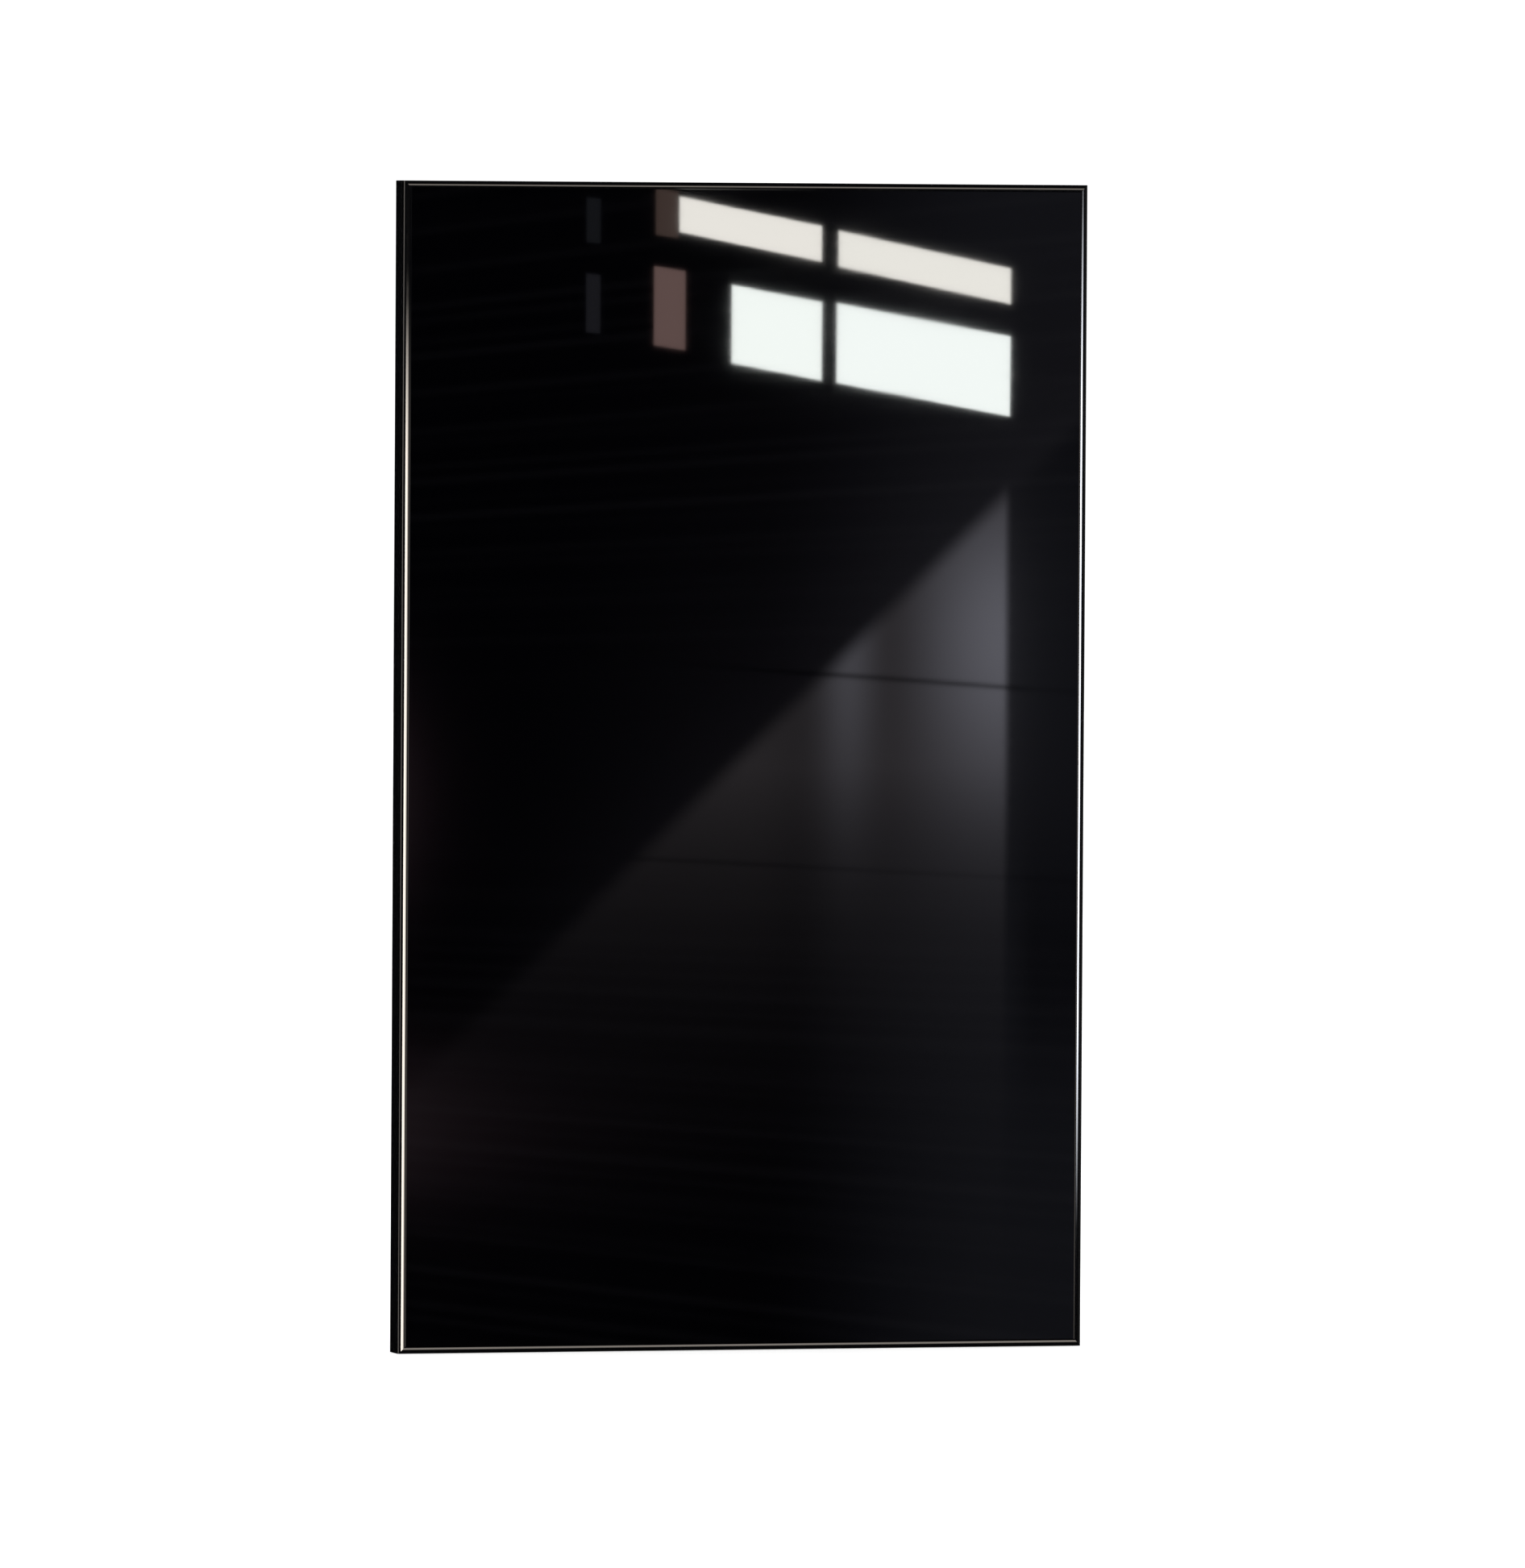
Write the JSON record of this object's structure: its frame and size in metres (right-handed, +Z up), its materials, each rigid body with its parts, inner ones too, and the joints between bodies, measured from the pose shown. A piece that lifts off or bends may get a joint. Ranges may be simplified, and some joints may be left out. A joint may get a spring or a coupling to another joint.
{
  "type": "door kick plate",
  "caption": "Upright gloss black door kick plate, a lipped board that lifts on and off concealed aluminium hook rails.",
  "frame": {"origin": "middle of the upper door rail's screw row, on the door's face", "axes": "+Z up, the plate's face looks along -Y, +Y into the door, +X to the right as seen from behind the plate's face looking along +Y"},
  "size_m": [0.365, 0.0249, 0.6],
  "materials": {
    "face": "polished gloss black acrylic",
    "lipping": "gloss black ABS lipping",
    "core": "raw medium-density fibreboard",
    "backing": "fine-textured black balancing laminate",
    "rail": "satin anodised extrusion",
    "screw": "bright zinc plate",
    "pad": "moulded black rubber"
  },
  "bodies": {
    "door_rails": {"upper_door_rail": "rail", "lower_door_rail": "rail"},
    "plate": {"core_board": "core", "face_sheet": "face", "backing_sheet": "backing", "edge_band_top": "lipping", "edge_band_bottom": "lipping", "edge_band_left": "lipping", "edge_band_right": "lipping", "upper_plate_rail": "rail", "lower_plate_rail": "rail", "upper_rail_screws": "screw", "lower_rail_screws": "screw", "corner_pads": "pad"}
  },
  "joints": [
    {"name": "plate_lift", "type": "slide", "parent": "door_rails", "child": "plate", "axis": [0, 0, 1], "range_m": [0, 0.012]}
  ]
}
